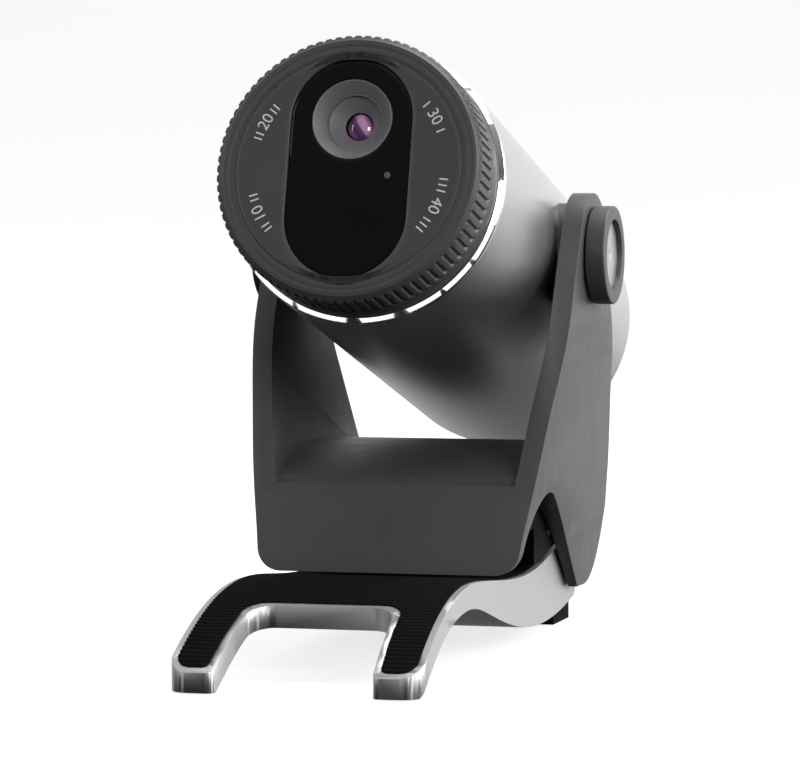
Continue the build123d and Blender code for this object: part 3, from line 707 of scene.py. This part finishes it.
def ribbed_pad():
    """The stand's rubber face: cross ribs over the CAD pad's own top surface."""
    pad = frame["nodes"]["stand_pad"]
    work = bmesh.new()
    work.from_mesh(pad.data)
    tree = BVHTree.FromBMesh(work)
    low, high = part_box("stand_pad")
    front, rear = low.y / MM, high.y / MM
    down = Vector((0, 0, -1))

    def top(x, y):
        """The CAD pad's height at a place, in mm, or None where there is no pad."""
        hit = tree.ray_cast(Vector((x * MM, y * MM, 0.1)), down)[0]
        return None if hit is None else hit.z / MM

    tip_notch, back_notch, notch_r = 14.35, 13.15, 4.2
    tip_half, rear_half, tip_r = 20.05, 19.25, 2.75
    splay_y = -58.0 + PIVOT.y / MM
    pitch, depth, side_depth, per = 1.0, 0.30, 0.12, 8
    thickness, cells = 0.8, 6
    notch_y = front
    while top(0.0, notch_y + 0.02) is None:
        notch_y += 0.05

    def outer(y):
        """Half the pad's width: it splays towards the tips, whose corners are round."""
        near = y - front
        edge = rear_half + (tip_half - rear_half) * max(0.0, (splay_y - y) / (splay_y - front))
        if near > tip_r:
            return edge
        return edge - tip_r + sqrt(max(0.0, tip_r ** 2 - (tip_r - near) ** 2))

    def wall(y):
        """Half the notch's width where its walls are straight."""
        return back_notch + (tip_notch - back_notch) * (notch_y - y) / (notch_y - front)

    start = notch_y - notch_r
    split = wall(start) - notch_r

    def inner(y):
        """Half the notch's width, with round corners at its end and at the tips."""
        if y >= notch_y:
            return split
        if y < start:
            bend = wall(y)
        else:
            bend = split + sqrt(max(0.0, notch_r ** 2 - (y - start) ** 2))
        near = y - front
        return bend + (0.0 if near > 1.0 else 1.0 - sqrt(max(0.0, 1.0 - (1.0 - near) ** 2)))

    rows = int((rear - front) / (pitch / per))
    points, faces, index = [], [], {}

    def vertex(key, place):
        if key not in index:
            index[key] = len(points)
            points.append(place)
        return index[key]

    def height(y):
        kept_in = min(max(y, front + 0.03), rear - 0.03)
        return max(z for z in (top(-16.0, kept_in), top(16.0, kept_in)) if z)

    ys = [front + (rear - front) * i / rows for i in range(rows + 1)]
    heights = [height(y) for y in ys]
    notch_row = min(range(rows + 1), key=lambda i: abs(ys[i] - notch_y))
    strips = [("left", 0, rows), ("right", 0, rows), ("middle", notch_row, rows)]
    for strip, first, last in strips:
        for i in range(first, last + 1):
            y = ys[i]
            ridge = smooth((0.5 - 0.5 * cos(2 * pi * (y - front) / pitch)) * 1.35)
            rise = depth * (ridge - 1.0)
            out = outer(y) + side_depth * (ridge - 1.0)
            if strip == "middle":
                xs = [-split + 2 * split * k / cells for k in range(cells + 1)]
            else:
                cut = inner(y) + (side_depth * (1.0 - ridge) if i < notch_row else 0.0)
                xs = [cut + (out - cut) * k / cells for k in range(cells + 1)]
                if strip == "left":
                    xs = [-x for x in reversed(xs)]
            for k, x in enumerate(xs):
                vertex((strip, i, k), (x, y, heights[i] + rise))
                vertex((strip, i, k, "low"), (x, y, heights[i] - thickness))
        for i in range(first, last):
            for k in range(cells):
                a, b = index[(strip, i, k)], index[(strip, i, k + 1)]
                c, d = index[(strip, i + 1, k + 1)], index[(strip, i + 1, k)]
                faces.append((a, b, c, d))
                la, lb = index[(strip, i, k, "low")], index[(strip, i, k + 1, "low")]
                lc, ld = index[(strip, i + 1, k + 1, "low")], index[(strip, i + 1, k, "low")]
                faces.append((ld, lc, lb, la))
            for k in (0, cells):
                joins_middle = i >= notch_row and (
                    strip == "middle" or (strip, k) in (("left", cells), ("right", 0)))
                if not joins_middle:
                    faces.append((index[(strip, i, k)], index[(strip, i + 1, k)],
                                  index[(strip, i + 1, k, "low")], index[(strip, i, k, "low")]))
        for i in (first, last):
            for k in range(cells):
                faces.append((index[(strip, i, k)], index[(strip, i, k + 1)],
                              index[(strip, i, k + 1, "low")], index[(strip, i, k, "low")]))
    work.free()
    return points, faces


build("stand_pad_ribbed", [ribbed_pad()], WORLD, "stand", rubber, "rubber_black", "stand_pad",
      sharp=60.0)

# ---- carried-over CAD nodes ------------------------------------------------------------
carried = {
    graphite: ["front_core"],
    grey_cone: ["shutter_disc"],
    black_plastic: ["grip_damper", "lens_holder", "electronics_tray", "friction_washers",
                    "arm_bushings"],
    lens_black: ["lens_barrel", "lens_spacer"],
    filter_glass: ["ir_filter", "rear_lens"],
    board: ["sensor_board", "main_board"],
    chip: ["image_sensor", "image_processor"],
    film: ["ribbon_cable", "ribbon_connectors"],
    heat_metal: ["heat_sink"],
    pipe_grey: ["status_lamp"],
    steel: ["pivot_bolts", "hinge_pin", "hinge_washers", "foot_screws", "block_screws",
            "block_pins", "face_screws", "sensor_board_screws", "main_board_screws"],
}
for material, names in carried.items():
    for name in names:
        node = frame["nodes"][name]
        node.data.materials.clear()
        node.data.materials.append(material)

# ---- floor, light and camera -----------------------------------------------------------


def studio():
    """A pale sweep that runs up behind the object. Only the camera sees it."""
    bend_y, bend_r, steps = 1.2, 1.0, 12
    outline = [(-3.0, 0.0), (bend_y, 0.0)]
    for k in range(1, steps + 1):
        t = k / steps * pi / 2
        outline.append((bend_y + bend_r * sin(t), bend_r - bend_r * cos(t)))
    outline.append((bend_y + bend_r, 4.0))
    points = [(x, y, z) for y, z in outline for x in (-4.0, 4.0)]
    faces = [(2 * i, 2 * i + 1, 2 * i + 3, 2 * i + 2) for i in range(len(outline) - 1)]
    mesh = bpy.data.meshes.new("studio_sweep")
    mesh.from_pydata(points, [], faces)
    for face in mesh.polygons:
        face.use_smooth = True
    sweep = bpy.data.objects.new("studio_sweep", mesh)
    bpy.context.scene.collection.objects.link(sweep)
    sweep.location.z = -0.2 * MM
    m = Nodes("studio_pale", spec=0.2)
    m.colour(m.noise(3.0, 2.0), (0.35, 0.35, 0.35), (0.37, 0.37, 0.37))
    m.roughness(m.noise(12.0, 2.0), 0.8, 0.9)
    m.set("Emission Color", (1.0, 1.0, 1.0, 1.0))
    m.set("Emission Strength", 0.78)
    mesh.materials.append(m.mat)
    sweep.visible_diffuse = False
    sweep.visible_glossy = False
    sweep.visible_transmission = False
    sweep.visible_shadow = False


def lamp(name, place, target, size, power):
    """An area lamp that faces target and is not seen by the camera itself."""
    data = bpy.data.lights.new(name, "AREA")
    data.shape = "RECTANGLE"
    data.size, data.size_y = size
    data.energy = power
    light = bpy.data.objects.new(name, data)
    light.location = place
    light.rotation_mode = "QUATERNION"
    light.rotation_quaternion = (Vector(target) - Vector(place)).to_track_quat("-Z", "Y")
    light.visible_camera = False
    bpy.context.scene.collection.objects.link(light)


def ring_lamps():
    """Small soft panels that the trim ring's bevel mirrors, with dark gaps between them.

    They light only the ring. Each spans two angles about the head's axis, in degrees, and stands
    where the bevel's normal, with its parts away from and along that axis, mirrors the camera."""
    centre = HEAD @ (Vector((0, -trim_front, 0)) * MM)
    to_camera = (camera.location - centre).normalized()
    distance, tall, level = 0.62, 0.16, 1.25
    bevel_out, bevel_ahead = 0.486, 0.874
    spans = ((-200, -172), (-171, -143), (-142, -118), (-117, -93.5), (-88.5, -73.5),
             (-68.5, -52), (-51, -35), (-34, -17), (26, 44), (45, 66))
    receivers = bpy.data.collections.new("ring_receivers")
    receivers.objects.link(trim_piece)
    for first, last in spans:
        spots = []
        for angle in (radians(first), radians((first + last) / 2), radians(last)):
            normal = HEAD.to_3x3() @ Vector((bevel_out * cos(angle), -bevel_ahead,
                                             bevel_out * sin(angle)))
            mirrored = 2 * normal.dot(to_camera) * normal - to_camera
            spots.append(centre + mirrored.normalized() * distance)
        across = spots[2] - spots[0]
        width = across.length
        z_axis = (spots[1] - centre).normalized()
        x_axis = (across - across.dot(z_axis) * z_axis).normalized()
        data = bpy.data.lights.new("ring_panel", "AREA")
        data.shape = "RECTANGLE"
        data.size, data.size_y = width, tall
        data.energy = level * pi * width * tall
        light = bpy.data.objects.new("ring_panel", data)
        facing = Matrix((x_axis, z_axis.cross(x_axis), z_axis)).transposed()
        light.matrix_world = Matrix.Translation(spots[1]) @ facing.to_4x4()
        light.light_linking.receiver_collection = receivers
        light.visible_camera = False
        bpy.context.scene.collection.objects.link(light)


def surroundings():
    """White behind the object for the camera, and a dim room for light and reflections."""
    world = bpy.data.worlds.new("studio")
    world.use_nodes = True
    bpy.context.scene.world = world
    tree = world.node_tree
    tree.nodes.clear()
    output = tree.nodes.new("ShaderNodeOutputWorld")
    mix = tree.nodes.new("ShaderNodeMixShader")
    path = tree.nodes.new("ShaderNodeLightPath")
    white = tree.nodes.new("ShaderNodeBackground")
    white.inputs["Color"].default_value = (1, 1, 1, 1)
    room = tree.nodes.new("ShaderNodeBackground")
    coords = tree.nodes.new("ShaderNodeTexCoord")
    split = tree.nodes.new("ShaderNodeSeparateXYZ")
    tree.links.new(coords.outputs["Generated"], split.inputs["Vector"])

    def scaled(socket, low, high):
        """One part of the direction looked in, from low to high, as 0 to 1."""
        made = tree.nodes.new("ShaderNodeMapRange")
        made.inputs["From Min"].default_value = low
        made.inputs["From Max"].default_value = high
        tree.links.new(split.outputs[socket], made.inputs["Value"])
        return made.outputs["Result"]

    def sky(stops):
        """Grey levels by the height of the direction looked in: stops are (height, level)."""
        ramp = tree.nodes.new("ShaderNodeValToRGB")
        while len(ramp.color_ramp.elements) < len(stops):
            ramp.color_ramp.elements.new(0.5)
        for element, (z, level) in zip(ramp.color_ramp.elements, stops):
            element.position = (z + 1) / 2
            element.color = (level, level, level, 1)
        tree.links.new(height, ramp.inputs["Fac"])
        return ramp.outputs["Color"]

    height = scaled("Z", -1.0, 1.0)
    rear = sky([(-1.0, 0.02), (-0.5, 0.12), (-0.15, 0.80), (0.02, 1.0), (0.5, 1.0), (1.0, 0.7)])
    ahead = sky([(-1.0, 0.01), (-0.2, 0.02), (0.0, 0.06), (0.5, 0.12), (1.0, 0.5)])
    blend = tree.nodes.new("ShaderNodeMixRGB")
    tree.links.new(scaled("Y", -0.15, 0.6), blend.inputs["Fac"])
    tree.links.new(ahead, blend.inputs["Color1"])
    tree.links.new(rear, blend.inputs["Color2"])
    tree.links.new(blend.outputs["Color"], room.inputs["Color"])
    tree.links.new(path.outputs["Is Camera Ray"], mix.inputs["Fac"])
    tree.links.new(room.outputs["Background"], mix.inputs[1])
    tree.links.new(white.outputs["Background"], mix.inputs[2])
    tree.links.new(mix.outputs["Shader"], output.inputs["Surface"])


studio()
surroundings()
target = tuple(PIVOT)
lamp("softbox_right", (0.95, 0.15, 0.35), target, (0.5, 0.6), 10.0)
lamp("softbox_top", (0.25, 0.25, 0.85), target, (0.6, 0.5), 6.0)
lamp("softbox_front", (0.80, -0.95, 0.45), target, (0.5, 0.4), 8.0)
lamp("softbox_left", (-0.85, -0.60, 0.45), target, (0.3, 0.5), 2.8)

camera_data = bpy.data.cameras.new("camera")
camera_data.lens = 180.0
camera_data.sensor_width = 36.0
camera_data.clip_start, camera_data.clip_end = 0.01, 50.0
camera = bpy.data.objects.new("camera", camera_data)
AZIMUTH, ELEVATION, ROLL = radians(15.34), radians(3.036), -0.0021
CAMERA_PLACE = Vector((183.67, -695.48, 15.45))
camera.location = PIVOT + CAMERA_PLACE * MM
back = Vector((sin(AZIMUTH) * cos(ELEVATION), -cos(AZIMUTH) * cos(ELEVATION), sin(ELEVATION)))
camera.rotation_mode = "QUATERNION"
camera.rotation_quaternion = (-back).to_track_quat("-Z", "Y") @ Quaternion((0, 0, 1), ROLL)
bpy.context.scene.collection.objects.link(camera)
bpy.context.scene.camera = camera
bpy.context.scene.view_settings.view_transform = "Standard"
ring_lamps()
